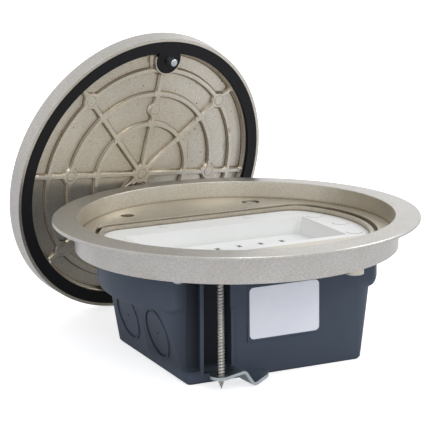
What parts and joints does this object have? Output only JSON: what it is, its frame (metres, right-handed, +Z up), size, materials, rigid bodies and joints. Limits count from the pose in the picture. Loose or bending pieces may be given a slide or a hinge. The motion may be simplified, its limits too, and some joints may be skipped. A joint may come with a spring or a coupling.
{
  "type": "round floor socket box",
  "caption": "Round floor socket box: a trim ring with a flange over a tapered back box, clamping claws on long screws, and a ribbed lift-off lid with a gasket.",
  "frame": {"origin": "on the ring's axis, level with the underside of the flange, which is the finished floor", "axes": "+Z up out of the floor along the ring's axis; X along the long side of the back box and of the tray's recess; the label side faces -Y and the loose lid stands on the +Y side"},
  "size_m": [0.2, 0.2309, 0.1679],
  "materials": {
    "satin_nickel": "satin, fine grain",
    "slate_plastic": "satin moulded",
    "white_plastic": "satin moulded",
    "black_rubber": "matt",
    "zinc_steel": "zinc plated",
    "brass": "machined",
    "label_film": "satin film"
  },
  "bodies": {
    "base": {"trim_ring": "satin_nickel", "lid_screw_inserts": "brass", "support_tray": "white_plastic", "back_box": "slate_plastic", "collar_seal": "black_rubber", "box_screws": "zinc_steel", "label": "label_film", "claw_screw_washers": "zinc_steel"},
    "claw_screw_left": {"claw_screw_left": "zinc_steel", "claw_screw_clip_left": "zinc_steel"},
    "claw_screw_right": {"claw_screw_right": "zinc_steel", "claw_screw_clip_right": "zinc_steel"},
    "claw_left": {"claw_left": "zinc_steel"},
    "claw_right": {"claw_right": "zinc_steel"},
    "lid": {"lid_casting": "satin_nickel", "lid_gasket": "black_rubber", "lid_ring_seals": "black_rubber"},
    "lid_screw_lower": {"lid_screw_lower": "zinc_steel", "lid_screw_clip_lower": "zinc_steel"},
    "lid_screw_upper": {"lid_screw_upper": "zinc_steel", "lid_screw_clip_upper": "zinc_steel"}
  },
  "joints": [
    {"name": "claw_screw_left_turn", "type": "hinge", "parent": "base", "child": "claw_screw_left", "pos_m": [-0.039, -0.0608, 0], "axis": [0, 0, -1], "range_deg": [0, 9601]},
    {"name": "claw_screw_right_turn", "type": "hinge", "parent": "base", "child": "claw_screw_right", "pos_m": [0.039, 0.0608, 0], "axis": [0, 0, -1], "range_deg": [0, 9601]},
    {"name": "claw_left_climb", "type": "slide", "parent": "base", "child": "claw_left", "axis": [0, 0, 1], "range_m": [0, 0.044]},
    {"name": "claw_right_climb", "type": "slide", "parent": "base", "child": "claw_right", "axis": [0, 0, 1], "range_m": [0, 0.044]},
    {"name": "lid_lift", "type": "slide", "parent": "base", "child": "lid", "axis": [0, 0, 1], "range_m": [0, 0.12]},
    {"name": "lid_screw_lower_turn", "type": "hinge", "parent": "lid", "child": "lid_screw_lower", "pos_m": [-0.02405, 0.11145, -0.06257], "axis": [0.1935, -0.951, -0.2411], "continuous": true},
    {"name": "lid_screw_upper_turn", "type": "hinge", "parent": "lid", "child": "lid_screw_upper", "pos_m": [-0.00313, 0.08034, 0.07695], "axis": [0.1935, -0.951, -0.2411], "continuous": true}
  ],
  "couplings": [
    {"joint": "claw_screw_left_turn", "follows": "claw_left_climb", "rad_per_m": 3808},
    {"joint": "claw_screw_right_turn", "follows": "claw_right_climb", "rad_per_m": 3808}
  ]
}
